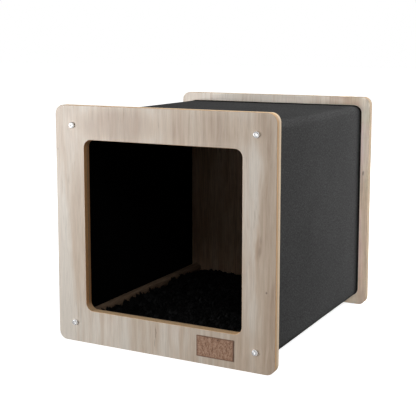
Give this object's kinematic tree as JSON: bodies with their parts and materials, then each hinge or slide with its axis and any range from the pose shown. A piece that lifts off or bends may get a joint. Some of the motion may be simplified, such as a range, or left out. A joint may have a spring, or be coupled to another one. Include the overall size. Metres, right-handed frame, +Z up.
{
  "type": "pet house",
  "caption": "Free-standing pet house: square boards front and back, the front with a rounded doorway, joined by dowels over a charcoal felt sleeve; a loose plush cushion lifts off the floor.",
  "frame": {"origin": "on the floor, under the middle of the house", "axes": "+Z up; -Y out of the doorway; +X to the right as seen from the front"},
  "size_m": [0.4, 0.4572, 0.4],
  "materials": {
    "washed_oak": "matt, pale greige washed oak with upright grain",
    "charcoal_felt": "stiff pressed felt, charcoal",
    "dowel_wood": "satin, pale turned wood",
    "insert_metal": "zinc plated",
    "screw_metal": "bright nickel plate",
    "hardboard": "matt brown hardboard",
    "label_leather": "matt, grained, bare",
    "black_plush": "long shaggy pile, black"
  },
  "bodies": {
    "house": {"front_board": "washed_oak", "back_board": "washed_oak", "felt_sleeve": "charcoal_felt", "floor_board": "hardboard", "label_patch": "label_leather", "dowel_lower_left": "dowel_wood", "dowel_lower_right": "dowel_wood", "dowel_upper_left": "dowel_wood", "dowel_upper_right": "dowel_wood", "insert_front_lower_left": "insert_metal", "insert_front_lower_right": "insert_metal", "insert_front_upper_left": "insert_metal", "insert_front_upper_right": "insert_metal", "insert_back_lower_left": "insert_metal", "insert_back_lower_right": "insert_metal", "insert_back_upper_left": "insert_metal", "insert_back_upper_right": "insert_metal", "screw_front_lower_left": "screw_metal", "screw_front_lower_right": "screw_metal", "screw_front_upper_left": "screw_metal", "screw_front_upper_right": "screw_metal", "screw_back_lower_left": "screw_metal", "screw_back_lower_right": "screw_metal", "screw_back_upper_left": "screw_metal", "screw_back_upper_right": "screw_metal"},
    "cushion": {"cushion": "black_plush"}
  },
  "joints": [
    {"name": "cushion_lift", "type": "slide", "parent": "house", "child": "cushion", "axis": [0, 0, 1], "range_m": [0, 0.06]}
  ]
}
